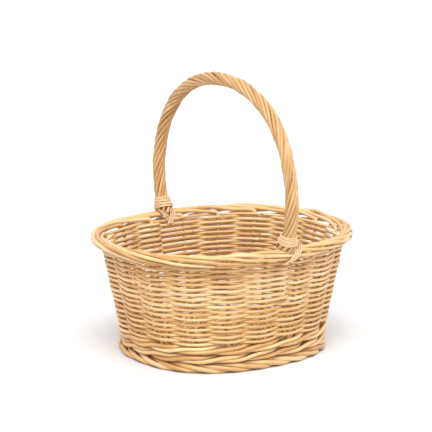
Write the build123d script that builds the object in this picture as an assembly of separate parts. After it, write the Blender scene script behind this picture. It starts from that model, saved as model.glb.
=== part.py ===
"""Oval willow basket with a fixed hoop handle, millimetres, +Z up.

Origin: centre of the footprint, on the surface that the basket stands on.
X is the long axis of the oval, Y the short one, and the handle stands across Y.

A place on the wall is given as (station, out, height). The station counts
stakes round the oval, counter-clockwise from +X, so 4.5 is midway between two
stakes. The second number is the distance outside the line of the stakes.
"""
from build123d import *
import os
import numpy as np

# ---- driving dimensions ----------------------------------------------------
STAKES = 18                     # uprights round the wall
FOOT_HALF_X = 132.8             # stake line at height 0
FOOT_HALF_Y = 117.9
FLARE_X = 0.215                 # how fast the stake line opens with height
FLARE_Y = 0.150
OVAL_POWER = 2.4                # 2 is an ellipse, more is squarer
LEAN = 0.18                     # average slope of the wall, outwards for each unit up

STAKE_R = 2.6
WEAVER_R = 1.72
UPSETT_R = 3.0
CLEAR = 0.25                    # air between rods that touch on the real one

WALE_RODS = 3                   # rods that chase each other round in a wale
WALE_ROUNDS = 2
JOIN = 0.04                     # of a station: how far from the stake a row starts and ends
UPSETT_Z = 20.2                 # middle of the lowest round of the wale
ROWS = 33                       # rows of randing
RIM_ROWS = ((26, 29), (29, 33))         # rows close under the border, kept together in one node each
RANDING_Z = 41.6
RANDING_PITCH = 3.68
# One cycle of a wale rod, in stakes: behind a stake, then in front of two. The
# second number is its side, 1 outside, and the third its height in the round.
WALE_CYCLE = ((0.0, -1.0, 0.0), (0.25, -0.91, -1.05), (0.5, 0.0, -1.0), (0.75, 0.81, -1.0),
              (1.0, 1.0, -1.0), (1.25, 1.13, -1.0), (1.5, 1.22, 0.0), (1.75, 1.13, 1.0),
              (2.0, 1.0, 1.0), (2.25, 0.81, 1.0), (2.5, 0.0, 1.0), (2.75, -0.91, 1.05))

STAKE_BOTTOM = 14.5
# A stake turned down at the top: stakes passed, distance outside their line, height.
STAKE_CORNER_Z = 163.6
BORDER_ROUTE = ((0, 0.0, STAKE_CORNER_Z), (1, 3.9, 168.7), (2, 9.3, 170.7),
                (3, 15.3, 167.2), (4, 16.3, 160.6), (5, 11.2, 156.2))
BORDER_RUN = 4.9                # stakes passed at the tip

FOOT_RODS = 24
FOOT_ROD_R = 2.8
FOOT_ROUTE = ((-0.4, -3.0, 9.8), (0.0, 2.0, 9.8), (0.35, 7.0, 9.2), (0.75, 9.4, 6.0),
              (1.1, 7.4, 2.9), (1.5, 1.8, 2.5), (1.85, -2.5, 2.5))

BASE_Z = 16.0                   # middle of the woven base
BASE_RINGS = 16
SLATH_HALF_X = 50.0             # where the sticks start to fan out
SLATH_HALF_Y = 26.0
RING_FIRST = (61.0, 38.0)       # half-axes of the innermost ring
RING_LAST = (125.2, 109.0)
STICK_END = (127.0, 111.0)
LONG_STICK_R = 2.1
CROSS_STICK_R = 3.2
BASE_WEAVE_R = 1.9
BASE_SWING = 1.2                # a ring's corners stand this much past a stick; its bends take it back

HANDLE_STATIONS = (4.5, 13.5)   # +Y foot, -Y foot
HANDLE_HALF_SPAN = 160.8        # centreline at its widest
HANDLE_WIDEST_Z = 232.0
HANDLE_TOP_Z = 383.7
HANDLE_FOOT_Y = 146.4
HANDLE_FOOT_Z = 173.2
HANDLE_POWER = 2.145
CORE_R = 4.2
TAIL_R = 2.2
TAIL_BOTTOM = 98.0
TAIL_ROUTE = ((-0.6, 174.5), (-3.8, 168.0), (-3.8, 165.8), (0.0, 160.8), (0.0, TAIL_BOTTOM))
STRANDS = 9
STRAND_R = 2.1
STRAND_CIRCLE_R = 7.2
STRAND_PITCH = 140.0
STRAND_BOTTOM_Z = 179.3
FLARE_TOP_Z = 194.0             # below this the foot of the handle widens
FOOT_SPREAD = 2.4               # added to the radius at the bottom
WRAP_R = 0.75
WRAP_CIRCLE_R = 10.6
WRAP_TURNS = 6
WRAP_PITCH = 1.8
WRAP_BOTTOM_Z = 181.0
LACE_R = 0.9
LACE_LEAN = 0.17                # stations each side of the handle
LACE_MIDDLE = (6.0, 163.0)      # out and height of the middle of the loops
LACE_REACH = 13.5               # of the inner loop from that middle, about
# Out, height and side of the lean along a loop, from under the border round to the inside.
LACE_ROUTE = ((9.8, 151.8, 1.0), (13.4, 152.0, 1.0), (18.8, 156.0, 0.6), (19.8, 162.5, 0.0), (18.8, 169.4, -0.5),
              (12.0, 174.3, -1.0), (3.5, 174.0, -1.0), (-4.6, 172.4, -0.7), (-7.9, 167.0, -0.1), (-8.0, 160.5, 0.4))
NAIL_Z = 175.0
NAIL_R = 0.8
NAIL_HEAD_R = 1.9
NAIL_HEAD_LENGTH = 0.8
NAIL_LENGTH = 12.0

ROD_BEND_R = 8.0                # bend of a woven rod where it passes a stake
WALE_BEND_R = 14.0
LONG_BEND_R = 60.0              # bend of a rod that only follows the oval
HELIX_STEPS = 12                # corners for each turn of a helix

OUT_DIR = "parts"


# ---- the oval --------------------------------------------------------------
def signed_power(value, power):
    return np.sign(value) * np.abs(value) ** power


def oval_xy(angle, half_x, half_y):
    x = half_x * signed_power(np.cos(angle), 2 / OVAL_POWER)
    y = half_y * signed_power(np.sin(angle), 2 / OVAL_POWER)
    return x, y


def stake_line(z):
    """Half-axes of the oval through the stakes at one height."""
    return FOOT_HALF_X + FLARE_X * z, FOOT_HALF_Y + FLARE_Y * z


def station_table(height=80.0, steps=7200):
    """Angle and running length round the oval, to space the stakes evenly."""
    angle = np.linspace(0, 2 * np.pi, steps + 1)
    x, y = oval_xy(angle, *stake_line(height))
    length = np.concatenate([[0], np.cumsum(np.hypot(np.diff(x), np.diff(y)))])
    return angle, length / length[-1] * STAKES


TABLE_ANGLE, TABLE_STATION = station_table()


def station_angle(station):
    return np.interp(station % STAKES, TABLE_STATION, TABLE_ANGLE)


def wall_point(station, out, z):
    half_x, half_y = stake_line(z)
    x, y = oval_xy(station_angle(station), half_x, half_y)
    normal_x = signed_power(x / half_x, OVAL_POWER - 1) / half_x
    normal_y = signed_power(y / half_y, OVAL_POWER - 1) / half_y
    size = np.hypot(normal_x, normal_y)
    return Vector(float(x + out * normal_x / size), float(y + out * normal_y / size), float(z))


# ---- rods ------------------------------------------------------------------
def turns(points):
    """Degrees that the route turns by at each inner point."""
    angles = []
    for before, here, after in zip(points, points[1:], points[2:]):
        angles.append((here - before).get_angle(after - here))
    return angles


def drop_straight(points, least_turn=0.4):
    """The same route without the points that it runs straight through."""
    kept = [points[0]]
    for here, after in zip(points[1:], points[2:]):
        if (here - kept[-1]).get_angle(after - here) > least_turn:
            kept.append(here)
    return kept + [points[-1]]


def rod(points, radius, bend_r=ROD_BEND_R):
    """A round rod along straight runs joined by tangent arcs."""
    route = drop_straight(points)
    bends = []
    for index, turn in enumerate(turns(route)):
        shorter = min((route[index + 1] - route[index]).length, (route[index + 2] - route[index + 1]).length)
        largest = 0.45 * shorter / np.tan(np.radians(turn) / 2)
        bends.append(float(min(bend_r, largest)))
    path = FilletPolyline(*route, radius=bends) if bends else Line(*route)
    section = Plane(origin=path @ 0, z_dir=path % 0) * Circle(radius)
    return sweep(section, path=path)


def by_a_tail(station):
    """True for a stake with a tail of the handle half a station on."""
    return any(abs(station % STAKES + 0.5 - tail_station) < 0.1 for tail_station in HANDLE_STATIONS)


# ---- wall ------------------------------------------------------------------
def border_point(run, station):
    """Where a turned-down stake is, `run` stations on from its upright."""
    runs, outs, heights = zip(*BORDER_ROUTE)
    return wall_point(station + run, np.interp(run, runs, outs), np.interp(run, runs, heights))


def stake(station):
    points = [wall_point(station, 0, STAKE_BOTTOM), wall_point(station, 0, STAKE_CORNER_Z)]
    for run in np.append(np.arange(0.5, BORDER_RUN, 0.5), BORDER_RUN):
        points.append(border_point(run, station))
    return rod(points, STAKE_R, bend_r=7.0)


def randing_row(row):
    """One rod once round the wall, in front of and behind the stakes by turns.

    It starts and ends behind a stake. Where the tail of the handle stands
    beside a stake, it keeps to that stake's side until it has passed both.
    """
    z = RANDING_Z + RANDING_PITCH * row
    start = 5 * row % STAKES
    offset = STAKE_R + WEAVER_R + CLEAR
    places = [(start + JOIN, -1)]
    for stake_station in range(start, start + STAKES):
        side = -1 if (stake_station - start) % 2 == 0 else 1
        if stake_station > start:
            places.append((stake_station, side))
        if by_a_tail(stake_station) and z > TAIL_BOTTOM - RANDING_PITCH:
            places.append((stake_station + 0.5, side))
    places.append((start + STAKES - JOIN, -1))
    flat = [wall_point(station, side * offset, z) for station, side in places]
    corner_turns = [0] + turns(flat) + [0]
    points = []
    for (station, side), turn in zip(places, corner_turns):
        lost = ROD_BEND_R * (1 / np.cos(np.radians(turn) / 2) - 1)
        points.append(wall_point(station, side * (offset + lost), z))
    return rod(points, WEAVER_R)


def wale_point(station, side, height, z, radius):
    """A point in one round of a wale: `side` and `height` as in WALE_CYCLE, square to the leaning wall."""
    offset = (STAKE_R + radius + CLEAR) * np.hypot(1, LEAN)
    rise = radius + CLEAR / 2
    return wall_point(station, side * offset, z + height * rise - side * offset * LEAN)


def wale_rod(z, radius, start):
    """One rod of a wale, once round from behind stake `start` to behind it again."""
    points = [wale_point(start + JOIN, -1, 0, z, radius)]
    for cycle_start in range(start, start + STAKES, WALE_RODS):
        for run, side, height in WALE_CYCLE:
            if cycle_start + run > start:
                points.append(wale_point(cycle_start + run, side, height, z, radius))
    points.append(wale_point(start + STAKES - JOIN, -1, 0, z, radius))
    return rod(points, radius, bend_r=WALE_BEND_R)


def upsett_round(turn):
    """Three rods, spaced one stake apart, that lie over one another like a rope."""
    z = UPSETT_Z + turn * 2 * (2 * UPSETT_R + CLEAR)
    return [wale_rod(z, UPSETT_R, 7 * index + 9 * turn) for index in range(WALE_RODS)]


def foot_border():
    """Short thick rods that come out under the wall, each over the one before, down to the ground."""
    ground = Pos(0, 0, -50) * Box(500, 500, 100)
    rods = []
    for station in np.linspace(0, STAKES, FOOT_RODS, endpoint=False):
        points = [wall_point(station + run, out, z) for run, out, z in FOOT_ROUTE]
        rods.append(rod(points, FOOT_ROD_R, bend_r=20.0) - ground)
    return rods


# ---- base ------------------------------------------------------------------
def base_point(station, half_axes, z=BASE_Z):
    x, y = oval_xy(station_angle(station), *half_axes)
    return Vector(float(x), float(y), float(z))


def base_stick(station, opposite, radius):
    slath = (SLATH_HALF_X, SLATH_HALF_Y)
    points = [base_point(station, STICK_END), base_point(station, slath),
              base_point(opposite, slath), base_point(opposite, STICK_END)]
    return rod(points, radius, bend_r=30.0)


def long_sticks():
    return [base_stick(station, 9 - station, LONG_STICK_R) for station in (-1, 0, 1)]


def cross_sticks():
    """Thicker sticks, each slit in the middle for the long ones to pass through."""
    slit_half = base_point(1, (SLATH_HALF_X, SLATH_HALF_Y)).Y + LONG_STICK_R + 2 * CLEAR
    slit = Pos(0, 0, BASE_Z) * Box(3 * SLATH_HALF_X, 2 * slit_half, 2 * (LONG_STICK_R + CLEAR))
    return [base_stick(station, STAKES - station, CROSS_STICK_R) - slit for station in range(2, 8)]


def base_ring(ring):
    """One round of the base weave, over and under the sticks by turns."""
    share = ring / (BASE_RINGS - 1)
    half_axes = [first + (last - first) * share for first, last in zip(RING_FIRST, RING_LAST)]
    lift = CROSS_STICK_R + BASE_WEAVE_R + CLEAR
    start = (7 * ring) % STAKES
    points = [base_point(start + 0.12, half_axes, BASE_Z + lift)]
    for step in range(1, STAKES):
        side = 1 if step % 2 == 0 else -1
        points.append(base_point(start + step, half_axes, BASE_Z + side * (lift + BASE_SWING)))
    points.append(base_point(start + STAKES - 0.12, half_axes, BASE_Z + lift))
    return rod(points, BASE_WEAVE_R, bend_r=5.0)


# ---- handle ----------------------------------------------------------------
def arch_outline(steps=400):
    """Points of the handle's centreline, from the -Y foot over the top to +Y."""
    leg = np.linspace(1, 0, steps // 4, endpoint=False)
    leg_y = HANDLE_HALF_SPAN + (HANDLE_FOOT_Y - HANDLE_HALF_SPAN) * leg ** 2
    leg_z = HANDLE_WIDEST_Z + (HANDLE_FOOT_Z - HANDLE_WIDEST_Z) * leg
    angle = np.linspace(-np.pi / 2, np.pi / 2, steps)
    bow_y = HANDLE_HALF_SPAN * signed_power(np.sin(angle), 2 / HANDLE_POWER)
    bow_rise = signed_power(np.clip(np.cos(angle), 0, 1), 2 / HANDLE_POWER)
    bow_z = HANDLE_WIDEST_Z + (HANDLE_TOP_Z - HANDLE_WIDEST_Z) * bow_rise
    y = np.concatenate([-leg_y, bow_y, leg_y[::-1]])
    z = np.concatenate([leg_z, bow_z, leg_z[::-1]])
    length = np.concatenate([[0], np.cumsum(np.hypot(np.diff(y), np.diff(z)))])
    return y, z, length


ARCH_Y, ARCH_Z, ARCH_RUN = arch_outline()
ARCH_LENGTH = ARCH_RUN[-1]


def arch_point(run, around=0.0, circle_r=0.0):
    """A point at `circle_r` from the centreline, `around` radians about it."""
    step = 0.5
    y = np.interp(run, ARCH_RUN, ARCH_Y)
    z = np.interp(run, ARCH_RUN, ARCH_Z)
    ahead = min(run + step, ARCH_LENGTH)
    behind = max(run - step, 0)
    along_y = np.interp(ahead, ARCH_RUN, ARCH_Y) - np.interp(behind, ARCH_RUN, ARCH_Y)
    along_z = np.interp(ahead, ARCH_RUN, ARCH_Z) - np.interp(behind, ARCH_RUN, ARCH_Z)
    size = np.hypot(along_y, along_z)
    side = circle_r * np.sin(around) / size
    x = circle_r * np.cos(around)
    return Vector(float(x), float(y + side * along_z), float(z - side * along_y))


def run_at_height(z):
    """Length along the arch from the -Y foot up to one height on that leg."""
    return float(np.interp(z, ARCH_Z[:200], ARCH_RUN[:200]))


def spread(run):
    """How much wider the handle is here than higher up; it widens at both feet."""
    z = np.interp(run, ARCH_RUN, ARCH_Z)
    share = np.clip((FLARE_TOP_Z - z) / (FLARE_TOP_Z - STRAND_BOTTOM_Z), 0, 1)
    return FOOT_SPREAD * share ** 1.5


def helix(runs, first, pitch, circle_r, phase, radius):
    """A right-handed strand round the arch through the given lengths along it."""
    points = []
    for run in runs:
        points.append(arch_point(run, phase + 2 * np.pi * (run - first) / pitch, circle_r + spread(run)))
    return rod(points, radius, bend_r=LONG_BEND_R)


def tail(side):
    """The thin end of the bow, inside the border and down into the weave."""
    station = HANDLE_STATIONS[0] if side > 0 else HANDLE_STATIONS[1]
    points = [Vector(0, side * (HANDLE_FOOT_Y - 0.4), HANDLE_FOOT_Z + 8)]
    points += [wall_point(station, out, z) for out, z in TAIL_ROUTE]
    return rod(points, TAIL_R, bend_r=14.0)


def nail_hole(side, radius, length):
    middle = Pos(0, side * HANDLE_FOOT_Y, NAIL_Z)
    return middle * Rot(90, 0, 0) * Cylinder(radius, length)


def handle_bow():
    points = [arch_point(run) for run in np.linspace(0, ARCH_LENGTH, 25)]
    bow = rod(points, CORE_R, bend_r=400.0)
    for side in (-1, 1):
        bow = bow + tail(side)
    for side in (-1, 1):
        bow = bow - nail_hole(side, NAIL_R + 0.1, 4 * CORE_R)
    return bow


def handle_strands():
    first = run_at_height(STRAND_BOTTOM_Z)
    flare = run_at_height(FLARE_TOP_Z)
    last = ARCH_LENGTH - first
    count = int(round((last - first) / STRAND_PITCH * HELIX_STEPS))
    foot_runs = np.linspace(first, flare, 4, endpoint=False)
    runs = np.concatenate([foot_runs, np.linspace(flare, ARCH_LENGTH - flare, count), ARCH_LENGTH - foot_runs[::-1]])
    phases = [2 * np.pi * strand / STRANDS for strand in range(STRANDS)]
    return [helix(runs, first, STRAND_PITCH, STRAND_CIRCLE_R, phase, STRAND_R) for phase in phases]


def binding(side):
    """Fine skein wound round the foot of the handle."""
    low = run_at_height(WRAP_BOTTOM_Z)
    high = low + WRAP_TURNS * WRAP_PITCH
    if side > 0:
        low, high = ARCH_LENGTH - high, ARCH_LENGTH - low
    runs = np.linspace(low, high, WRAP_TURNS * HELIX_STEPS + 1)
    return helix(runs, low, WRAP_PITCH, WRAP_CIRCLE_R, 0.0, WRAP_R)


def lacing(side):
    """Two slanting loops of skein over the border that cross on its face."""
    station = HANDLE_STATIONS[0] if side > 0 else HANDLE_STATIONS[1]
    middle_out, middle_z = LACE_MIDDLE
    loops = []
    for lean, extra in ((-LACE_LEAN, 0.0), (LACE_LEAN, 2 * LACE_R + CLEAR)):
        grow = 1 + extra / LACE_REACH
        points = []
        for out, z, share in LACE_ROUTE:
            grown_out = middle_out + (out - middle_out) * grow
            grown_z = middle_z + (z - middle_z) * grow
            points.append(wall_point(station + lean * share, grown_out, grown_z))
        loops.append(rod(points, LACE_R, bend_r=6.0))
    return loops


def handle_nails():
    """A round nail through each foot of the bow, driven from outside."""
    nails = []
    for side in (-1, 1):
        shank = Pos(0, side * (HANDLE_FOOT_Y + CORE_R - NAIL_LENGTH / 2 + 0.5), NAIL_Z)
        head = Pos(0, side * (HANDLE_FOOT_Y + CORE_R + 0.5 + NAIL_HEAD_LENGTH / 2), NAIL_Z)
        nail = shank * Rot(90, 0, 0) * Cylinder(NAIL_R, NAIL_LENGTH)
        nails.append(nail + head * Rot(90, 0, 0) * Cylinder(NAIL_HEAD_R, NAIL_HEAD_LENGTH))
    return nails


# ---- write every piece -----------------------------------------------------
def build():
    nodes = {}
    for station in range(STAKES):
        nodes[f"stake_{station + 1:02d}"] = [stake(station)]
    for row in range(RIM_ROWS[0][0]):
        nodes[f"weaver_{row + 1:02d}"] = [randing_row(row)]
    for index, rows in enumerate(RIM_ROWS):
        nodes[f"rim_weavers_{index + 1}"] = [randing_row(row) for row in range(*rows)]
    for turn in range(WALE_ROUNDS):
        nodes[f"upsett_wale_{turn + 1}"] = upsett_round(turn)
    nodes["foot_border"] = foot_border()
    nodes["base_long_sticks"] = long_sticks()
    nodes["base_cross_sticks"] = cross_sticks()
    nodes["base_weave"] = [base_ring(ring) for ring in range(BASE_RINGS)]
    nodes["handle_bow"] = [handle_bow()]
    nodes["handle_strands"] = handle_strands()
    nodes["binding_front"] = [binding(-1)]
    nodes["binding_back"] = [binding(1)]
    nodes["lacing_front"] = lacing(-1)
    nodes["lacing_back"] = lacing(1)
    nodes["handle_nails"] = handle_nails()
    return nodes


def write(name, pieces):
    solids = [solid for piece in pieces for solid in piece.solids()]
    export_step(Compound(label=name, children=solids), os.path.join(OUT_DIR, f"{name}.step"))


os.makedirs("parts", exist_ok=True)
for node_name, node_pieces in build().items():
    write(node_name, node_pieces)
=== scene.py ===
import bpy
import numpy as np
from mathutils import Matrix, Vector


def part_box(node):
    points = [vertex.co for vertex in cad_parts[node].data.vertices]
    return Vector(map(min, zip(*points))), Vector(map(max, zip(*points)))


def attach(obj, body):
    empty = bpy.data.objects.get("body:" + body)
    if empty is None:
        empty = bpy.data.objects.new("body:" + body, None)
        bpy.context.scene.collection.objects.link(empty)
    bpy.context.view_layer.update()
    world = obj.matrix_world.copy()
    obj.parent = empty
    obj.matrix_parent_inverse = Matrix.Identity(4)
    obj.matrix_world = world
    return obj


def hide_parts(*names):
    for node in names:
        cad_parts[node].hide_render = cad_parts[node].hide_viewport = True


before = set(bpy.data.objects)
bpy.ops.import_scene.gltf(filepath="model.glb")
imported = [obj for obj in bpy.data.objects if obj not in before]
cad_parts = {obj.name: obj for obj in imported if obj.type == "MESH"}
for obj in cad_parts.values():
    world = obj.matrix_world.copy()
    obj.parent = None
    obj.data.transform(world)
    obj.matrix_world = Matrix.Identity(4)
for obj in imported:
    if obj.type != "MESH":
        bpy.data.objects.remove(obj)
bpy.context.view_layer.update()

# Lengths are in metres. Only a route is in mm: (stakes passed, distance outside the stake line, height).
# A wobble is (size, mesh points from bump to bump). A taper is (thinnest and thickest rod), (butt and tip),
# as shares of the rod's radius. A slant is how obliquely an end is cut, in radii.

# ---- wall -------------------------------------------------------------------
MM = 0.001
STAKES = 18                       # uprights round the wall
STAKE_SPACING = 50 * MM           # about, from one to the next
FOOT_HALF = np.array([132.8, 117.9]) * MM     # stake line at height 0, along X and Y
FLARE = np.array([0.215, 0.150])              # how fast it opens with height
OVAL_POWER = 2.4
SPACED_AT_Z = 80 * MM             # the height at which the stakes are evenly spaced
TABLE_POINTS = 7201
LEAN = 0.18                       # average slope of the wall
ROUTE_STEPS = 16                  # points of a route from one stake to the next

STAKE_R = 2.5 * MM                # in the wall
STAKE_BORDER_R = 2.85 * MM        # where it runs on round the rim
STAKE_BORDER_RANGE = (0.86, 1.08)
THICKER_FROM_Z = 140.0 * MM
THICKER_TO_Z = 165.0 * MM
STAKE_CORNER_Z = 163.6 * MM
UPRIGHT_POINTS = 40
STAKE_BEND = 9 * MM               # how softly it turns into the border
BORDER_ROUTE = ((0, 0.0, 163.6), (1, 3.9, 168.2), (2, 9.3, 170.6),
                (3, 15.3, 167.2), (4, 16.3, 160.6), (5, 11.2, 156.2))
BORDER_START = 0.25               # place on the route that the upright leads into
BORDER_RUN = 4.9                  # stakes that a turned-down end passes
BORDER_RUN_RANGE = (-0.25, 0.1)
BORDER_BEND = 30 * MM
BORDER_WOBBLE = (0.7 * MM, 16)
TIP_FROM = 0.6                    # share of a stake at which it begins to thin
TIP_THINNER = 0.38
STAKE_SLANT = (0.0, 1.5)

RIM_ROWS = ((26, 29), (29, 33))   # the rows of the two nodes close under the border
RANDING_Z = 41.6 * MM             # lowest row of the plain weave
RANDING_PITCH = 3.68 * MM
ROW_SHIFT = 5                     # stakes from the start of a row to the start of the next
WEAVER_R = 2.02 * MM
WEAVER_CLEARANCE = 1.02
WEAVER_TAPER = (0.92, 1.06), (1.05, 0.93)
WEAVER_SLANT = (0.3, 1.4)
WEAVER_OUT_WOBBLE = (0.25 * MM, 16)
WEAVER_UP_WOBBLE = (0.34 * MM, 18)
JOIN_HEAD, JOIN_TAIL = 0.2, 0.24  # how far pieced rods run past their join, in stakes
TUCK, TUCK_RUN = 2.0 * MM, 0.6    # how deep and how far a new rod's head is tucked in
TAIL_BOTTOM_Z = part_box("handle_bow")[0][2]    # lower end of the handle's tails in the wall

WALE_RODS = 3
WALE_ROUNDS = 2                   # at the bottom of the wall
UPSETT_Z, UPSETT_PITCH, UPSETT_R = 20.2 * MM, 12.5 * MM, 2.8 * MM
WALE_GAP = 0.15 * MM              # between rods that lie over one another
WALE_BEND = 12 * MM
WALE_OVERLAP = 0.26               # how far pieced rods run past their join, in stakes
WALE_STEP = 0.03
WALE_TAPER = (0.93, 1.05), (1.05, 0.92)
WALE_SLANT = (0.3, 1.2)
WALE_WOBBLE = (0.5 * MM, 16)
WALE_ROD_SHIFT, WALE_ROUND_SHIFT = 7, 9       # stakes between the starts of rods and of rounds
# One cycle of a wale rod: stakes passed, side (1 is outside), height in the round.
# The values between the stakes come from a search for the widest gap between the rods.
WALE_CYCLE = ((0.0, -1.0, 0.0), (0.25, -0.91, -1.05), (0.5, 0.0, -1.0), (0.75, 0.81, -1.0),
              (1.0, 1.0, -1.0), (1.25, 1.13, -1.0), (1.5, 1.22, 0.0), (1.75, 1.13, 1.0),
              (2.0, 1.0, 1.0), (2.25, 0.81, 1.0), (2.5, 0.0, 1.0), (2.75, -0.91, 1.05))

FOOT_RODS = 24
FOOT_R = 3.15 * MM
FOOT_ROUTE = ((-0.5, -4.0, 9.8), (0.0, 2.0, 9.8), (0.35, 7.0, 9.2), (0.75, 9.4, 6.0),
              (1.1, 7.6, 3.1), (1.5, 2.4, 3.1), (1.85, -2.5, 3.1))
FOOT_BEND = 9 * MM
FOOT_TAPER = (0.93, 1.06), (1.03, 0.9)
FOOT_SLANT = (0.3, 1.4)
FOOT_WOBBLE = (0.25 * MM, 10)
FOOT_LEAST_Z = 1.16               # lowest centreline in radii, with room for bud scars and lumps

# ---- base -------------------------------------------------------------------
BASE_Z = 16.0 * MM
LONG_STATIONS = (-1, 0, 1)        # stations of the sticks' ends
CROSS_STATIONS = range(2, 8)
BASE_RINGS = 16
RING_SHIFT = 7                    # stakes from the start of a ring to the start of the next
SLATH_HALF = np.array([50.0, 26.0]) * MM
RING_FIRST = np.array([61.0, 38.0]) * MM
RING_LAST = np.array([125.2, 109.0]) * MM
STICK_END = np.array([127.0, 111.0]) * MM
STICK_BEND = 16 * MM
STICK_SLANT = (0.4, 0.4)
STICK_MIDDLE, STICK_THINNER = 1.05, 0.14      # thickness in the middle, loss at the ends
LONG_STICK_R = 2.3 * MM
CROSS_STICK_R = 3.3 * MM
BASE_WEAVE_R = 2.1 * MM
BASE_WEAVE_RANGE = (0.94, 1.06)
BASE_WEAVE_SIDES = 12
BASE_WEAVE_PRESS = 0.96           # how close it lies on the sticks
BASE_WEAVE_HEAD, BASE_WEAVE_TAIL = 0.15, 0.1  # how far the ends of a ring run past its start, in stakes
BASE_WOBBLE = (0.35 * MM, 14)

# ---- handle -----------------------------------------------------------------
HANDLE_STATION = {"back": 4.5, "front": 13.5}
HANDLE_MIRROR = {"back": -1, "front": 1}      # the arch starts at the front foot
HANDLE_HALF_SPAN = 160.8 * MM
HANDLE_WIDEST_Z = 232.0 * MM
HANDLE_TOP_Z = 383.7 * MM
HANDLE_FOOT_Y = 146.4 * MM
HANDLE_FOOT_Z = 167.0 * MM
HANDLE_POWER = 2.145
TANGENT_REACH = 0.5 * MM
LEG_POINTS = 200                  # of the arch's outline, from the foot to its widest place
BOW_POINTS = 801
CORE_POINTS = 300
CORE_R = 4.6 * MM
STRANDS = 9
STRAND_R = 2.45 * MM
STRAND_CIRCLE_R = 6.9 * MM
STRAND_PITCH = 140.0 * MM
STRAND_RANGE = (0.9, 1.1)
STRAND_TONES = (0.1, 0.85)
STRAND_TURN_WOBBLE = (0.06, 30)   # radians
STRAND_OUT_WOBBLE = (0.3 * MM, 25)
STRANDS_BELOW_CAD = 8 * MM        # they run down behind the lacing
FLARE_TOP_Z = 196.0 * MM          # below this the foot of the handle widens
FLARE_BOTTOM_Z = 178.0 * MM
FOOT_SPREAD = 3.9 * MM
WRAP_R = 0.88 * MM
WRAP_TURNS = {"front": 6, "back": 8}
WRAP_STEPS = 40                   # points of one turn
WRAP_PITCH = 1.95 * MM
WRAP_PRESS = 0.7                  # how close it lies on the strands
WRAP_TONE = 0.25
WRAP_OUT_WOBBLE = (0.12 * MM, 20)
WRAP_UP_WOBBLE = (0.15 * MM, 12)
WRAP_BOTTOM_Z = {"front": 179.6 * MM, "back": 176.0 * MM}
LACE_R = 0.85 * MM
LACE_POINTS = 60
LACE_STEP = 1.2 * MM
LACE_BEND = 6 * MM
LACE_TONES = (0.1, 0.4)
LACE_WOBBLE = (0.2 * MM, 14)
LACE_SWING = 1.6                  # half-waves from side to side along a loop
LACE_MIDDLE = (6.0, 163.0)        # out and height of the middle of the loops
# Out and height along a loop of lacing, from under the border round to the inside.
LACE_ROUTE = ((8.6, 151.6), (12.6, 151.6), (18.4, 155.6), (19.9, 162.0), (18.9, 168.6),
              (12.8, 174.0), (4.0, 175.2), (-4.0, 172.8), (-7.6, 167.0), (-8.0, 160.5), (-8.2, 156.0))

# Each strand of lacing: lean in stations, place beside the handle, how far out it lies.
LACINGS = {"front": ((0.16, 0.04, 1.0), (0.17, 0.09, 1.0), (0.18, 0.14, 1.0), (0.19, 0.19, 1.0)),
           "back": ((0.14, -0.05, 1.0), (0.14, 0.0, 1.0), (0.14, 0.05, 1.0),
                    (-0.14, -0.05, 1.12), (-0.14, 0.0, 1.12), (-0.14, 0.05, 1.12))}

# ---- rod meshes -------------------------------------------------------------
SIDES = 14                        # corners of a rod's section
STEP = 2.4 * MM                   # length of a rod's mesh faces
SECTION_OVAL = 0.035              # how far a section is from round
LUMPY = 0.022                     # size of the lumps as a share of the radius
LUMP_POINTS = 9                   # mesh points from lump to lump
SCARS = 2.2                       # bud scars on 100 mm of a rod
SCAR_LENGTH = 1.5 * MM
SCAR_SWELL = (0.05, 0.13)
SCAR_DARK = (0.4, 1.0)
CUT_DARK = 0.75
CUT_SLANT = (0.5, 0.5)
CAP_SHARE, CAP_RISE = 0.86, 0.16  # the rounded edge of a cut end
GRAIN_LENGTH = 60 * MM
GRAIN_SHIFT = 40                  # sets the streaks of one rod apart from those of the next
TONE_BETA = (2.0, 2.6)            # how the tones of the rods are spread
SKEIN = {"sides": 10, "scars": 0.3, "lumpy": 0.03}

# ---- camera and studio ------------------------------------------------------
# Azimuth 0 looks along +Y, elevation is above the horizon.
CAMERA_AZIMUTH = -35.08
CAMERA_ELEVATION = 12.2
CAMERA_DISTANCE = 2.88
CAMERA_LENS = 170.5
CAMERA_TARGET_Z = 0.1899
CAMERA_ASIDE = -0.0094
FLOOR_HALF = 6.0
FLOOR_COLOUR = (0.66, 0.66, 0.67, 1)
LIGHTS_AIM = (0, 0, 0.15)
KEY_PLACE = (-1.1, -1.5, 2.6)
KEY_ENERGY = 3.1
KEY_ANGLE = 45                    # degrees, wide for soft shadows
FILL_PLACE = (2.2, -1.2, 1.4)
FILL_ENERGY = 12.0
FILL_SIZE = 1.8


# ---- the oval ---------------------------------------------------------------
def signed_power(value, power):
    return np.sign(value) * np.abs(value) ** power


def oval_xy(angle, half):
    """Points of the oval; `half` holds the half-axes, one pair or one for each angle."""
    unit = np.stack([np.cos(angle), np.sin(angle)], -1)
    return signed_power(unit, 2 / OVAL_POWER) * half


def running_length(points):
    """Length along `points` up to each of them."""
    return np.concatenate([[0], np.cumsum(np.linalg.norm(np.diff(points, axis=0), axis=1))])


def stake_line(z):
    """Half-axes of the stake line at a height."""
    return FOOT_HALF + FLARE * np.asarray(z)[..., None]


def station_table():
    """Angle against running length round the oval, which spaces the stakes evenly."""
    angle = np.linspace(0, 2 * np.pi, TABLE_POINTS)
    length = running_length(oval_xy(angle, stake_line(SPACED_AT_Z)))
    return angle, length / length[-1] * STAKES


TABLE_ANGLE, TABLE_STATION = station_table()


def station_angle(station):
    """Angle of a stake on the oval, or of a place between two stakes."""
    return np.interp(np.asarray(station) % STAKES, TABLE_STATION, TABLE_ANGLE)


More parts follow.
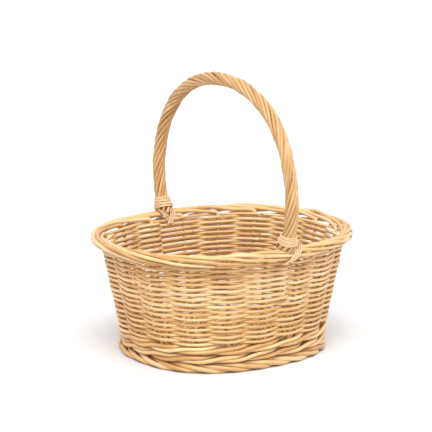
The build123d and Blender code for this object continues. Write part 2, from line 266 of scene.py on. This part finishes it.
def wall_points(station, out, z):
    """Points on the wall: stakes counted round from +X, distance outside their line, height."""
    station, out, z = np.broadcast_arrays(station, out, z)
    half = stake_line(z)
    on_line = oval_xy(station_angle(station), half)
    normal = signed_power(on_line / half, OVAL_POWER - 1) / half
    normal = normal / np.linalg.norm(normal, axis=-1, keepdims=True)
    return np.concatenate([on_line + out[..., None] * normal, z[..., None]], -1)


# ---- curves -----------------------------------------------------------------
def resample(points, step=STEP):
    """The same line with points evenly spaced, about `step` apart."""
    length = running_length(points)
    count = max(int(round(length[-1] / step)), 3)
    at = np.linspace(0, length[-1], count + 1)
    return np.stack([np.interp(at, length, points[:, axis]) for axis in range(3)], -1)


def soften(points, reach, step=STEP):
    """Rounds the corners of a route by averaging along it over about `reach`."""
    dense = resample(points, step)
    half = max(int(reach / step / 2), 1)
    window = np.ones(2 * half + 1) / (2 * half + 1)
    for _ in range(2):
        first = 2 * dense[0] - dense[1:half + 1][::-1]
        last = 2 * dense[-1] - dense[-half - 1:-1][::-1]
        padded = np.concatenate([first, dense, last])
        dense = np.stack([np.convolve(padded[:, axis], window, "valid") for axis in range(3)], -1)
    return resample(dense, step)


def wobble(count, random, size, length):
    """Smooth seeded noise for `count` points, about `size` high, with `length` points from bump to bump."""
    knots = random.normal(size=count // length + 4)
    at = np.linspace(0.5, len(knots) - 1.5, count)
    low = at.astype(int)
    share = at - low
    share = share * share * (3 - 2 * share)
    return size * (knots[low] * (1 - share) + knots[low + 1] * share)


def tapered(radius, taper, count, random):
    """Radii along a rod that is thicker or thinner than the others and thins towards its tip."""
    between_rods, along_rod = taper
    return radius * random.uniform(*between_rods) * np.linspace(*along_rod, count)


def share_between(value, low, high):
    """0 at `low` and before it, 1 at `high` and past it."""
    return np.clip((value - low) / (high - low), 0, 1)


# ---- rod meshes -------------------------------------------------------------
class RodMesh:
    """Collects rods and turns them into one mesh with what the willow material reads.

    grain: a place in the rod, round its section and along it, for streaks.
    tone: 0 for the palest rod, 1 for the darkest.
    scar: 1 at a bud scar or a cut end.
    """

    def __init__(self, name):
        self.name = name
        seed = sum(ord(letter) * (place + 7) for place, letter in enumerate(name))
        self.random = np.random.default_rng(seed)
        self.corners, self.faces = [], []
        self.grain, self.tone, self.scar = [], [], []
        self.count = 0

    def add(self, points, radii, tone=None, sides=SIDES, scars=SCARS, slant=CUT_SLANT, lumpy=LUMPY):
        """A rod along `points`; `radii` is one radius or one for each point."""
        random = self.random
        count = len(points)
        radii = np.broadcast_to(radii, count)
        length = running_length(points)
        around = np.linspace(0, 2 * np.pi, sides, endpoint=False)
        swell, scar = self.surface(length, around, scars, lumpy)
        oval = 1 + SECTION_OVAL * np.cos(2 * (around - random.uniform(0, np.pi)))
        radius = radii[:, None] * swell * oval
        along = np.gradient(points, axis=0)
        along /= np.linalg.norm(along, axis=1, keepdims=True)
        side, up = self.frames(along)
        ring = np.cos(around)[None, :, None] * side[:, None] + np.sin(around)[None, :, None] * up[:, None]
        body = points[:, None] + radius[..., None] * ring
        for end, sign, cut in ((0, -1, slant[0]), (-1, 1, slant[1])):
            body[end] += (sign * cut * radii[end] * np.cos(around))[:, None] * along[end]

        shift = random.uniform(0, GRAIN_SHIFT, 3)
        places = np.broadcast_arrays(np.cos(around), np.sin(around), (length / GRAIN_LENGTH)[:, None])
        grain = np.stack(places, -1) + shift
        tone = random.beta(*TONE_BETA) if tone is None else tone
        index = self.keep(body, grain, tone, scar)
        following = np.roll(index, -1, axis=1)
        quads = np.stack([index[:-1], following[:-1], following[1:], index[1:]], -1)
        self.faces += quads.reshape(-1, 4).tolist()
        for end, sign in ((0, -1), (-1, 1)):
            self.cap(body[end], points[end], radii[end], sign * along[end], index[end], tone, grain[end])

    def surface(self, length, around, scars, lumpy):
        """How far the rod's skin swells and how dark its bud scars are, at each corner of the mesh."""
        random = self.random
        swell = np.ones((len(length), len(around)))
        swell *= (1 + wobble(len(length), random, lumpy, LUMP_POINTS))[:, None]
        scar = np.zeros_like(swell)
        for _ in range(random.poisson(scars * length[-1] / (100 * MM))):
            where = random.uniform(0, length[-1])
            facing = random.uniform(0, 2 * np.pi)
            near = np.exp(-((length - where) / SCAR_LENGTH) ** 2)[:, None]
            toward = np.clip(np.cos(around - facing), 0, 1) ** 2
            swell += random.uniform(*SCAR_SWELL) * near * toward
            scar = np.maximum(scar, random.uniform(*SCAR_DARK) * near * toward)
        scar[0] = scar[-1] = CUT_DARK
        return swell, scar

    def keep(self, corners, grain, tone, scar):
        """Stores corners with their attributes and gives their numbers in the mesh."""
        shape = corners.shape[:-1]
        count = int(np.prod(shape))
        self.corners.append(corners.reshape(-1, 3))
        self.grain.append(grain.reshape(-1, 3))
        self.tone.append(np.full(count, tone))
        self.scar.append(np.broadcast_to(scar, shape).reshape(-1))
        self.count += count
        return np.arange(self.count - count, self.count).reshape(shape)

    def cap(self, rim, centre, radius, outward, rim_index, tone, grain):
        """A cut end: a narrow rounded edge and a flat face."""
        sides = len(rim)
        inner = centre + (rim - centre) * CAP_SHARE + outward * radius * CAP_RISE
        inner_index = self.keep(inner, grain, tone, CUT_DARK)
        middle_index = self.keep(inner.mean(axis=0)[None], grain.mean(axis=0)[None], tone, CUT_DARK)
        flip = np.dot(np.cross(rim[1] - rim[0], rim[2] - rim[0]), outward) < 0
        for here in range(sides):
            there = (here + 1) % sides
            edge = [rim_index[here], rim_index[there], inner_index[there], inner_index[here]]
            face = [inner_index[here], inner_index[there], middle_index[0]]
            for corners in (edge, face):
                self.faces.append([int(corner) for corner in (corners[::-1] if flip else corners)])

    @staticmethod
    def frames(along):
        """Two directions across the rod at each point, with no twist from one to the next."""
        side = np.empty_like(along)
        start = np.array([0.0, 0.0, 1.0]) if abs(along[0, 2]) < 0.8 else np.array([1.0, 0.0, 0.0])
        here = start - along[0] * start.dot(along[0])
        for index, direction in enumerate(along):
            here = here - direction * here.dot(direction)
            here = here / np.linalg.norm(here)
            side[index] = here
        return side, np.cross(along, side)

    def finish(self, slot):
        """Makes the piece, which stands for the CAD node of the same name."""
        mesh = bpy.data.meshes.new(self.name)
        mesh.from_pydata(np.concatenate(self.corners).tolist(), [], self.faces)
        for label, kind, key, values in (("grain", "FLOAT_VECTOR", "vector", self.grain),
                                         ("tone", "FLOAT", "value", self.tone),
                                         ("scar", "FLOAT", "value", self.scar)):
            channel = mesh.attributes.new(label, kind, "POINT")
            channel.data.foreach_set(key, np.concatenate(values).astype(np.float32).ravel())
        mesh.polygons.foreach_set("use_smooth", [True] * len(mesh.polygons))
        mesh.materials.append(material(slot))
        piece = bpy.data.objects.new(self.name, mesh)
        bpy.context.collection.objects.link(piece)
        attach(piece, "root")
        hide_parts(self.name)


# ---- willow material --------------------------------------------------------
# For each slot: pale, middle and dark colours of the rods, and how glossy they are.
WILLOW = {
    "stake_willow": ((0.84, 0.60, 0.33), (0.68, 0.41, 0.165), (0.48, 0.235, 0.065), 0.36),
    "weaver_willow": ((0.84, 0.61, 0.33), (0.68, 0.41, 0.16), (0.47, 0.225, 0.055), 0.36),
    "wale_willow": ((0.81, 0.57, 0.29), (0.65, 0.38, 0.15), (0.45, 0.215, 0.06), 0.36),
    "border_willow": ((0.80, 0.56, 0.30), (0.64, 0.38, 0.155), (0.44, 0.21, 0.06), 0.36),
    "base_willow": ((0.72, 0.48, 0.24), (0.58, 0.33, 0.13), (0.42, 0.20, 0.06), 0.46),
    "bow_willow": ((0.70, 0.46, 0.23), (0.58, 0.33, 0.13), (0.40, 0.19, 0.06), 0.40),
    "strand_willow": ((0.70, 0.47, 0.24), (0.53, 0.305, 0.115), (0.33, 0.15, 0.04), 0.34),
    "skein_willow": ((0.84, 0.63, 0.38), (0.74, 0.50, 0.26), (0.58, 0.33, 0.13), 0.36),
}
SCAR_COLOUR = (0.25, 0.12, 0.045, 1)
FIBRE_COLOUR = (0.34, 0.15, 0.04, 1)
NAIL_COLOUR = (0.10, 0.085, 0.07, 1)
RUST_COLOUR = (0.20, 0.10, 0.05, 1)
# Noises along the grain: stretch of the grain's coordinates, scale, detail.
PATCHES = ((0.35, 0.35, 1.1), 1.6, 3)
STREAKS = ((4.0, 4.0, 0.9), 1.5, 4)
FIBRES = ((14.0, 14.0, 2.5), 1.5, 2)
RUST_SCALE, RUST_DETAIL = 900.0, 4
# What a noise or an attribute does: from low and high, to low and high.
PATCH_SHADE = (0.3, 0.7, -0.24, 0.34)
STREAK_SHARE = (0.42, 0.72, 0.0, 0.42)
FIBRE_SHARE = (0.35, 0.75, 0.0, 0.20)
SCAR_SHARE = (0.15, 1.0, 0.0, 0.75)
RUST_ROUGHNESS = (0.3, 0.7, 0.35, 0.6)
SMOOTHER, ROUGHER = 0.06, 0.14    # how far the streaks change the roughness
MIDDLE_SHADE = 0.52               # place of the middle colour between pale and dark
TONE_SHARE = 0.90                 # how much of the shade is the rod's own tone
COAT, COAT_ROUGHNESS = 0.25, 0.30
BUMP_STRENGTH, BUMP_HEIGHT = 0.35, 0.25 * MM  # of the fibres
made_materials = {}


def new_material(name):
    made = bpy.data.materials.new(name)
    made.use_nodes = True
    tree = made.node_tree
    return made, tree, tree.nodes["Principled BSDF"]


def noise(tree, vector, scale, detail):
    node = tree.nodes.new("ShaderNodeTexNoise")
    node.inputs["Scale"].default_value = scale
    node.inputs["Detail"].default_value = detail
    tree.links.new(vector, node.inputs["Vector"])
    return node.outputs["Fac"]


def grain_noise(tree, grain, pattern):
    stretch, scale, detail = pattern
    node = tree.nodes.new("ShaderNodeMapping")
    node.inputs["Scale"].default_value = stretch
    tree.links.new(grain, node.inputs["Vector"])
    return noise(tree, node.outputs["Vector"], scale, detail)


def remap(tree, value, low, high, to_low, to_high):
    """`value` carried from the range low, high into the range to_low, to_high, and kept inside it."""
    node = tree.nodes.new("ShaderNodeMapRange")
    for socket, number in (("From Min", low), ("From Max", high), ("To Min", to_low), ("To Max", to_high)):
        node.inputs[socket].default_value = number
    tree.links.new(value, node.inputs["Value"])
    return node.outputs["Result"]


def mix(tree, share, first, second):
    """From `first` to `second` by `share`, a socket; the colours are sockets or values."""
    node = tree.nodes.new("ShaderNodeMix")
    node.data_type = "RGBA"
    for name, kind, value in (("Factor", "VALUE", share), ("A", "RGBA", first), ("B", "RGBA", second)):
        socket = next(found for found in node.inputs if (found.name, found.type) == (name, kind))
        if isinstance(value, bpy.types.NodeSocket):
            tree.links.new(value, socket)
        else:
            socket.default_value = value
    return next(found for found in node.outputs if found.type == "RGBA")


def attribute(tree, name, output):
    node = tree.nodes.new("ShaderNodeAttribute")
    node.attribute_name = name
    return node.outputs[output]


def willow(slot):
    """Peeled willow: each rod its own tone, streaked along the grain, dark at bud scars and cuts."""
    pale, middle, dark, roughness = WILLOW[slot]
    made, tree, shader = new_material(slot)
    grain = attribute(tree, "grain", "Vector")
    tone = attribute(tree, "tone", "Fac")
    scar = attribute(tree, "scar", "Fac")
    patches, streaks, fibres = (grain_noise(tree, grain, pattern) for pattern in (PATCHES, STREAKS, FIBRES))

    shade = tree.nodes.new("ShaderNodeMath")
    shade.operation = "MULTIPLY_ADD"
    value, multiplier, addend = shade.inputs
    tree.links.new(tone, value)
    multiplier.default_value = TONE_SHARE
    tree.links.new(remap(tree, patches, *PATCH_SHADE), addend)
    ramp = tree.nodes.new("ShaderNodeValToRGB")
    ramp.color_ramp.elements[0].color = (*pale, 1)
    ramp.color_ramp.elements[1].color = (*dark, 1)
    ramp.color_ramp.elements.new(MIDDLE_SHADE).color = (*middle, 1)
    tree.links.new(shade.outputs["Value"], ramp.inputs["Fac"])

    colour = mix(tree, remap(tree, streaks, *STREAK_SHARE), ramp.outputs["Color"], FIBRE_COLOUR)
    colour = mix(tree, remap(tree, fibres, *FIBRE_SHARE), colour, FIBRE_COLOUR)
    colour = mix(tree, remap(tree, scar, *SCAR_SHARE), colour, SCAR_COLOUR)
    tree.links.new(colour, shader.inputs["Base Color"])

    uneven = remap(tree, streaks, 0.3, 0.7, roughness - SMOOTHER, roughness + ROUGHER)
    tree.links.new(uneven, shader.inputs["Roughness"])
    shader.inputs["Coat Weight"].default_value = COAT
    shader.inputs["Coat Roughness"].default_value = COAT_ROUGHNESS
    bump = tree.nodes.new("ShaderNodeBump")
    bump.inputs["Strength"].default_value = BUMP_STRENGTH
    bump.inputs["Distance"].default_value = BUMP_HEIGHT
    tree.links.new(fibres, bump.inputs["Height"])
    tree.links.new(bump.outputs["Normal"], shader.inputs["Normal"])
    return made


def nail_steel():
    """Dull steel with specks of rust."""
    made, tree, shader = new_material("nail_steel")
    place = tree.nodes.new("ShaderNodeTexCoord").outputs["Object"]
    rust = noise(tree, place, RUST_SCALE, RUST_DETAIL)
    tree.links.new(mix(tree, rust, NAIL_COLOUR, RUST_COLOUR), shader.inputs["Base Color"])
    shader.inputs["Metallic"].default_value = 0.8
    tree.links.new(remap(tree, rust, *RUST_ROUGHNESS), shader.inputs["Roughness"])
    return made


def material(slot):
    """The material of a slot, made once."""
    if slot not in made_materials:
        made_materials[slot] = nail_steel() if slot == "nail_steel" else willow(slot)
    return made_materials[slot]


# ---- wall -------------------------------------------------------------------
def route_points(route, station, bend, first=None, last=None):
    """A rod along a route from a station on, following the oval, from `first` to `last` stakes of it."""
    runs, outs, heights = np.array(route, float).T
    low = runs[0] if first is None else first
    high = runs[-1] if last is None else last
    at = np.linspace(low, high, int((high - low) * ROUTE_STEPS) + 1)
    points = wall_points(station + at, np.interp(at, runs, outs) * MM, np.interp(at, runs, heights) * MM)
    return soften(points, bend)


def make_stake(station):
    """An upright that turns down at the top and runs on round the rim in the border."""
    rods = RodMesh(f"stake_{station + 1:02d}")
    random = rods.random
    lower_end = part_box(rods.name)[0][2]
    upright = wall_points(station, 0.0, np.linspace(lower_end, STAKE_CORNER_Z, UPRIGHT_POINTS))
    tip = BORDER_RUN + random.uniform(*BORDER_RUN_RANGE)
    border = route_points(BORDER_ROUTE, station, BORDER_BEND, BORDER_START, tip)
    line = soften(np.concatenate([upright, border]), STAKE_BEND)
    count = len(line)
    in_border = np.maximum.accumulate(share_between(line[:, 2], THICKER_FROM_Z, THICKER_TO_Z))
    radii = STAKE_R + (STAKE_BORDER_R * random.uniform(*STAKE_BORDER_RANGE) - STAKE_R) * in_border
    to_tip = share_between(np.linspace(0, 1, count), TIP_FROM, 1)
    radii = radii * (1 - TIP_THINNER * to_tip ** 1.5)
    line[:, 2] += wobble(count, random, *BORDER_WOBBLE) * in_border
    rods.add(line, radii, slant=STAKE_SLANT)
    rods.finish("stake_willow")


def by_a_tail(station):
    """True for a stake with a tail of the handle half a station on."""
    return any(abs(station % STAKES + 0.5 - tail) < 0.1 for tail in HANDLE_STATION.values())


def eased(at, places, sides):
    """The side at any station, easing from one of the `places` to the next."""
    index = np.clip(np.searchsorted(places, at, side="right") - 1, 0, len(places) - 2)
    share = (at - places[index]) / (places[index + 1] - places[index])
    share = 0.5 - 0.5 * np.cos(np.pi * np.clip(share, 0, 1))
    return sides[index] * (1 - share) + sides[index + 1] * share


def add_row(rods, row):
    """A row of the wall, in front of and behind the stakes by turns, pieced from two rods."""
    random = rods.random
    z = RANDING_Z + RANDING_PITCH * row
    start = ROW_SHIFT * row % STAKES
    places, sides = [], []
    for station in range(start - 2, start + STAKES + 3):
        side = -1.0 if (station - start) % 2 == 0 else 1.0
        places.append(station)
        sides.append(side)
        if by_a_tail(station) and z > TAIL_BOTTOM_Z - RANDING_PITCH:
            places.append(station + 0.5)
            sides.append(side)
    places, sides = np.array(places, float), np.array(sides)
    join = start + 2 * int(random.integers(2, 7))
    for first, last in ((start, join), (join, start + STAKES)):
        first, last = first - JOIN_HEAD, last + JOIN_TAIL
        count = int((last - first) * STAKE_SPACING / STEP)
        at = np.linspace(first, last, count)
        out = eased(at, places, sides) * (STAKE_R + WEAVER_R) * WEAVER_CLEARANCE
        out += wobble(count, random, *WEAVER_OUT_WOBBLE)
        out -= TUCK * np.clip(1 - (at - first) / TUCK_RUN, 0, 1)
        height = z + wobble(count, random, *WEAVER_UP_WOBBLE) - LEAN * out
        radii = tapered(WEAVER_R, WEAVER_TAPER, count, random)
        rods.add(wall_points(at, out, height), radii, slant=random.uniform(*WEAVER_SLANT, 2))


def make_rows(name, rows):
    """One or more rows of the wall as the piece for one node."""
    rods = RodMesh(name)
    for row in rows:
        add_row(rods, row)
    rods.finish("weaver_willow")


def wale_line(z, first, last, random):
    """A wale rod from one stake that it passes behind to another."""
    offset, rise = STAKE_R + UPSETT_R, UPSETT_R + WALE_GAP
    stations, outs, heights = [], [], []
    for cycle_start in range(first - WALE_RODS, last + WALE_RODS, WALE_RODS):
        for run, side, height in WALE_CYCLE:
            stations.append(cycle_start + run)
            outs.append(side * offset)
            heights.append(height * rise - side * offset * LEAN)
    at = np.arange(first - WALE_OVERLAP, last + WALE_OVERLAP, WALE_STEP)
    out = np.interp(at, stations, outs)
    height = np.interp(at, stations, heights)
    line = soften(wall_points(at, out, z + height), WALE_BEND)
    line[:, 2] += wobble(len(line), random, *WALE_WOBBLE)
    return line


def make_upsett(turn):
    """One round of the wale: three rods that lie over one another like a rope, each pieced from two."""
    rods = RodMesh(f"upsett_wale_{turn + 1}")
    random = rods.random
    for index in range(WALE_RODS):
        start = WALE_ROD_SHIFT * index + WALE_ROUND_SHIFT * turn
        join = start + STAKES // 2
        for first, last in ((start, join), (join, start + STAKES)):
            line = wale_line(UPSETT_Z + UPSETT_PITCH * turn, first, last, random)
            radii = tapered(UPSETT_R, WALE_TAPER, len(line), random)
            rods.add(line, radii, slant=random.uniform(*WALE_SLANT, 2))
    rods.finish("wale_willow")


def make_foot():
    """Thick rods that lie over one another; they carry the basket, so none goes below the ground."""
    rods = RodMesh("foot_border")
    for station in np.linspace(0, STAKES, FOOT_RODS, endpoint=False):
        line = route_points(FOOT_ROUTE, station, FOOT_BEND)
        radii = tapered(FOOT_R, FOOT_TAPER, len(line), rods.random)
        height = line[:, 2] + wobble(len(line), rods.random, *FOOT_WOBBLE)
        line[:, 2] = np.maximum(height, radii * FOOT_LEAST_Z)
        rods.add(line, radii, slant=FOOT_SLANT)
    rods.finish("border_willow")


# ---- base -------------------------------------------------------------------
def base_points(station, half, z):
    """Points over the oval with half-axes `half`, at the same stations as the stakes."""
    flat = oval_xy(station_angle(station), half)
    return np.concatenate([flat, np.broadcast_to(z, flat.shape[:-1])[..., None]], -1)


def make_sticks(name, stations, across, radius):
    """Sticks of the base, each from a station over the middle to the one `across` from it."""
    rods = RodMesh(name)
    for station in stations:
        route = ((station, STICK_END), (station, SLATH_HALF),
                 (across - station, SLATH_HALF), (across - station, STICK_END))
        corners = np.concatenate([base_points([place], half, BASE_Z) for place, half in route])
        line = soften(corners, STICK_BEND)
        from_middle = np.abs(np.linspace(-1, 1, len(line)))
        rods.add(line, radius * (STICK_MIDDLE - STICK_THINNER * from_middle), slant=STICK_SLANT)
    rods.finish("base_willow")


def make_base_weave():
    """Rings that go over and under the cross sticks by turns."""
    rods = RodMesh("base_weave")
    lift = CROSS_STICK_R + BASE_WEAVE_R * BASE_WEAVE_PRESS
    for ring in range(BASE_RINGS):
        half = RING_FIRST + (RING_LAST - RING_FIRST) * (ring / (BASE_RINGS - 1))
        start = RING_SHIFT * ring % STAKES
        count = int(2 * np.pi * half.mean() / STEP)
        at = np.linspace(start - BASE_WEAVE_HEAD, start + STAKES + BASE_WEAVE_TAIL, count)
        side = np.cos(np.pi * (at - start))
        spread = 1 + wobble(count, rods.random, *BASE_WOBBLE) / half.mean()
        points = base_points(at, half * spread[:, None], BASE_Z + lift * side)
        rods.add(points, BASE_WEAVE_R * rods.random.uniform(*BASE_WEAVE_RANGE), sides=BASE_WEAVE_SIDES)
    rods.finish("base_willow")


# ---- handle -----------------------------------------------------------------
def arch_outline():
    """The handle's centreline in the YZ plane, from the -Y foot over the top to +Y."""
    leg = np.linspace(1, 0, LEG_POINTS, endpoint=False)
    leg_y = HANDLE_HALF_SPAN + (HANDLE_FOOT_Y - HANDLE_HALF_SPAN) * leg ** 2
    leg_z = HANDLE_WIDEST_Z + (HANDLE_FOOT_Z - HANDLE_WIDEST_Z) * leg
    angle = np.linspace(-np.pi / 2, np.pi / 2, BOW_POINTS)
    bow_y = HANDLE_HALF_SPAN * signed_power(np.sin(angle), 2 / HANDLE_POWER)
    rise = np.clip(np.cos(angle), 0, 1) ** (2 / HANDLE_POWER)
    bow_z = HANDLE_WIDEST_Z + (HANDLE_TOP_Z - HANDLE_WIDEST_Z) * rise
    y = np.concatenate([-leg_y, bow_y, leg_y[::-1]])
    z = np.concatenate([leg_z, bow_z, leg_z[::-1]])
    return y, z, running_length(np.stack([y, z], -1))


ARCH_Y, ARCH_Z, ARCH_RUN = arch_outline()
ARCH_LENGTH = ARCH_RUN[-1]


def arch_points(run, around=0.0, circle_r=0.0):
    """Points at `circle_r` from the handle's centreline, `around` radians about it."""
    y, z = np.interp(run, ARCH_RUN, ARCH_Y), np.interp(run, ARCH_RUN, ARCH_Z)
    ahead = np.minimum(run + TANGENT_REACH, ARCH_LENGTH)
    behind = np.maximum(run - TANGENT_REACH, 0)
    along_y = np.interp(ahead, ARCH_RUN, ARCH_Y) - np.interp(behind, ARCH_RUN, ARCH_Y)
    along_z = np.interp(ahead, ARCH_RUN, ARCH_Z) - np.interp(behind, ARCH_RUN, ARCH_Z)
    size = np.hypot(along_y, along_z)
    side = circle_r * np.sin(around) / size
    x = np.broadcast_to(circle_r * np.cos(around), y.shape)
    return np.stack([x, y + side * along_z, z - side * along_y], -1)


def run_at_height(z):
    """Length along the arch from its foot to a height on the leg."""
    return np.interp(z, ARCH_Z[:LEG_POINTS], ARCH_RUN[:LEG_POINTS])


def spread(run):
    """How much wider the handle is here than higher up; it widens at both feet."""
    height = np.interp(run, ARCH_RUN, ARCH_Z)
    return FOOT_SPREAD * share_between(height, FLARE_TOP_Z, FLARE_BOTTOM_Z) ** 1.5


def make_handle():
    """The bow, a solid core, and the strands twisted round it."""
    rods = RodMesh("handle_bow")
    rods.add(resample(arch_points(np.linspace(0, ARCH_LENGTH, CORE_POINTS))), CORE_R)
    rods.finish("bow_willow")

    rods = RodMesh("handle_strands")
    random = rods.random
    foot = run_at_height(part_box(rods.name)[0][2] - STRANDS_BELOW_CAD)
    count = int(ARCH_LENGTH / STEP)
    run = np.linspace(foot, ARCH_LENGTH - foot, count)
    for strand in range(STRANDS):
        phase = 2 * np.pi * (strand / STRANDS + run / STRAND_PITCH)
        phase += wobble(count, random, *STRAND_TURN_WOBBLE)
        circle = STRAND_CIRCLE_R + wobble(count, random, *STRAND_OUT_WOBBLE) + spread(run)
        radius = STRAND_R * random.uniform(*STRAND_RANGE)
        rods.add(arch_points(run, phase, circle), radius, tone=random.uniform(*STRAND_TONES))
    rods.finish("strand_willow")


def make_binding(where):
    """Fine skein wound round the foot of the handle, wider towards the bottom."""
    rods = RodMesh(f"binding_{where}")
    random = rods.random
    count = WRAP_TURNS[where] * WRAP_STEPS
    turn = np.linspace(0, WRAP_TURNS[where], count)
    run = run_at_height(WRAP_BOTTOM_Z[where] + WRAP_PITCH * turn)
    circle = STRAND_CIRCLE_R + STRAND_R + WRAP_R * WRAP_PRESS + spread(run)
    circle += wobble(count, random, *WRAP_OUT_WOBBLE)
    points = arch_points(run, 2 * np.pi * turn, circle)
    points[:, 1] *= HANDLE_MIRROR[where]
    points[:, 2] += wobble(count, random, *WRAP_UP_WOBBLE)
    rods.add(points, WRAP_R, tone=WRAP_TONE, **SKEIN)
    rods.finish("skein_willow")


def make_lacing(where):
    """Strands of skein over the border under the foot of the handle, which hold it down."""
    rods = RodMesh(f"lacing_{where}")
    random = rods.random
    corners = np.arange(len(LACE_ROUTE))
    along = np.linspace(0, corners[-1], LACE_POINTS)
    outs, heights = (np.interp(along, corners, values) for values in np.array(LACE_ROUTE).T)
    lean = -np.cos(np.pi * along / along[-1] * LACE_SWING)
    middle_out, middle_z = LACE_MIDDLE
    for side, place, grow in LACINGS[where]:
        points = wall_points(HANDLE_STATION[where] + place + side * lean,
                             (middle_out + (outs - middle_out) * grow) * MM,
                             (middle_z + (heights - middle_z) * grow) * MM)
        line = soften(points, LACE_BEND, LACE_STEP)
        line[:, 2] += wobble(len(line), random, *LACE_WOBBLE)
        rods.add(line, LACE_R, tone=random.uniform(*LACE_TONES), **SKEIN)
    rods.finish("skein_willow")


def dress_nails():
    """The nails keep their CAD shape and get their material."""
    nails = bpy.data.objects["handle_nails"]
    nails.data.materials.clear()
    nails.data.materials.append(material("nail_steel"))


# ---- stage ------------------------------------------------------------------
def make_floor():
    mesh = bpy.data.meshes.new("floor")
    corners = [(x * FLOOR_HALF, y * FLOOR_HALF, 0) for x, y in ((-1, -1), (1, -1), (1, 1), (-1, 1))]
    mesh.from_pydata(corners, [], [(0, 1, 2, 3)])
    floor = bpy.data.objects.new("floor", mesh)
    bpy.context.collection.objects.link(floor)
    made, _, shader = new_material("floor")
    shader.inputs["Base Color"].default_value = FLOOR_COLOUR
    shader.inputs["Roughness"].default_value = 0.9
    mesh.materials.append(made)


def make_light():
    """A white room, a wide key light from the front left and a weak fill from the right."""
    bpy.context.scene.view_settings.view_transform = "Standard"
    world = bpy.data.worlds.new("studio")
    bpy.context.scene.world = world
    world.use_nodes = True
    background = world.node_tree.nodes["Background"]
    background.inputs["Color"].default_value = (1, 1, 1, 1)
    background.inputs["Strength"].default_value = 1.0

    key = bpy.data.lights.new("key", "SUN")
    key.angle = np.radians(KEY_ANGLE)
    key.energy = KEY_ENERGY
    fill = bpy.data.lights.new("fill", "AREA")
    fill.size = FILL_SIZE
    fill.energy = FILL_ENERGY
    for light, place in ((key, KEY_PLACE), (fill, FILL_PLACE)):
        lamp = bpy.data.objects.new(light.name, light)
        lamp.location = place
        toward = Vector(LIGHTS_AIM) - Vector(place)
        lamp.rotation_mode = "QUATERNION"
        lamp.rotation_quaternion = toward.to_track_quat("-Z", "Y")
        bpy.context.collection.objects.link(lamp)


def make_camera():
    azimuth, elevation = np.radians(CAMERA_AZIMUTH), np.radians(CAMERA_ELEVATION)
    right = Vector((np.cos(azimuth), np.sin(azimuth), 0))
    forward = Vector((-np.sin(azimuth) * np.cos(elevation),
                      np.cos(azimuth) * np.cos(elevation),
                      -np.sin(elevation)))
    up = right.cross(forward)
    data = bpy.data.cameras.new("camera")
    data.lens = CAMERA_LENS
    data.clip_end = 50
    camera = bpy.data.objects.new("camera", data)
    place = Vector((0, 0, CAMERA_TARGET_Z)) + right * CAMERA_ASIDE - forward * CAMERA_DISTANCE
    turn = Matrix((right, up, -forward)).transposed().to_4x4()
    camera.matrix_world = Matrix.Translation(place) @ turn
    bpy.context.collection.objects.link(camera)
    bpy.context.scene.camera = camera


make_camera()
make_floor()
make_light()
for station in range(STAKES):
    make_stake(station)
for row in range(RIM_ROWS[0][0]):
    make_rows(f"weaver_{row + 1:02d}", [row])
for index, rows in enumerate(RIM_ROWS):
    make_rows(f"rim_weavers_{index + 1}", range(*rows))
for turn in range(WALE_ROUNDS):
    make_upsett(turn)
make_foot()
make_sticks("base_long_sticks", LONG_STATIONS, STAKES // 2, LONG_STICK_R)
make_sticks("base_cross_sticks", CROSS_STATIONS, STAKES, CROSS_STICK_R)
make_base_weave()
make_handle()
for where in HANDLE_STATION:
    make_binding(where)
    make_lacing(where)
dress_nails()
